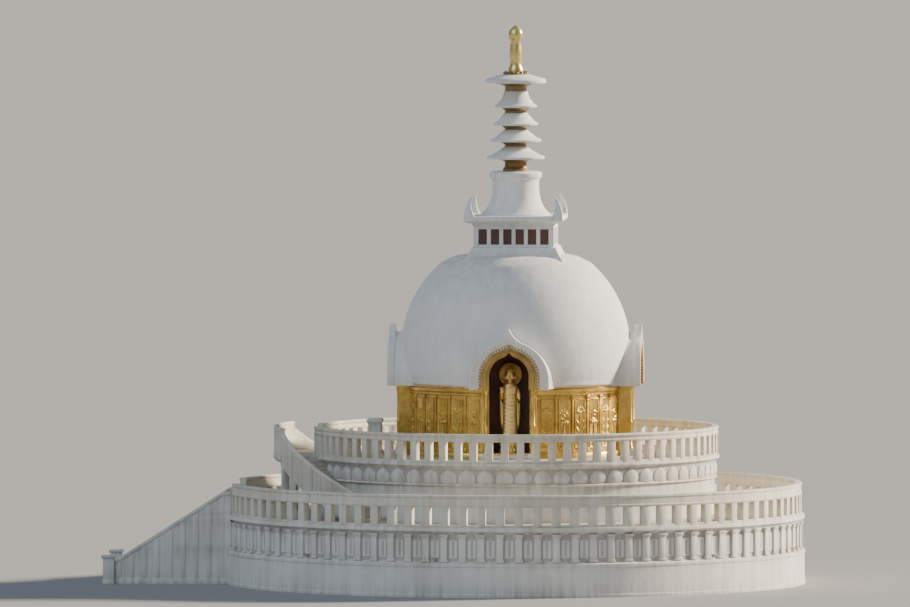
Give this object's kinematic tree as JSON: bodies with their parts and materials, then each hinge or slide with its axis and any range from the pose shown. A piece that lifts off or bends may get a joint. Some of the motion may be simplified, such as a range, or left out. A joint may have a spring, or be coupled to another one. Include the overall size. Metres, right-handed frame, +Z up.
{
  "type": "stupa",
  "caption": "White domed stupa on two round railed terraces, with a straight main stair, curved upper stairs, arched niches and a spire of stacked discs.",
  "frame": {"origin": "centre of the round foot, on the ground", "axes": "+Z up the spire; the main stair is at -Y and the length runs along Y; +X to the right of a visitor who climbs the main stair"},
  "size_m": [29.3, 35.45, 28.2],
  "materials": {
    "lime_plaster": "matt lime plaster",
    "parapet_plaster": "matt painted plaster",
    "dome_plaster": "smooth white plaster",
    "portal_plaster": "smooth moulded plaster",
    "paving": "worn stone slabs",
    "gilding": "aged gilding"
  },
  "bodies": {
    "root": {"lower_drum": "lime_plaster", "lower_deck": "paving", "lower_parapet_1": "parapet_plaster", "lower_parapet_2": "parapet_plaster", "lower_parapet_3": "parapet_plaster", "lower_parapet_4": "parapet_plaster", "lower_parapet_5": "parapet_plaster", "main_stair": "paving", "stair_wall_left": "lime_plaster", "stair_wall_right": "lime_plaster", "upper_drum": "lime_plaster", "upper_lotus_course": "lime_plaster", "upper_deck": "paving", "upper_parapet_1": "parapet_plaster", "upper_parapet_2": "parapet_plaster", "upper_parapet_3": "parapet_plaster", "upper_parapet_4": "parapet_plaster", "stair_landing": "paving", "landing_parapet": "parapet_plaster", "landing_pier_left": "lime_plaster", "landing_pier_right": "lime_plaster", "curved_stair_left": "paving", "curved_stair_right": "paving", "curved_parapet_left": "parapet_plaster", "curved_parapet_right": "parapet_plaster", "gilded_band": "gilding", "dome": "dome_plaster", "offering_stand": "lime_plaster", "portal_front": "portal_plaster", "portal_east": "portal_plaster", "portal_back": "portal_plaster", "portal_west": "portal_plaster", "hood_front": "portal_plaster", "hood_east": "portal_plaster", "hood_back": "portal_plaster", "hood_west": "portal_plaster", "figure_front": "gilding", "figure_east": "gilding", "figure_back": "gilding", "figure_west": "gilding", "harmika": "dome_plaster", "harmika_cornice": "dome_plaster", "bell": "dome_plaster", "disc_spire": "dome_plaster", "finial": "gilding"}
  },
  "joints": []
}
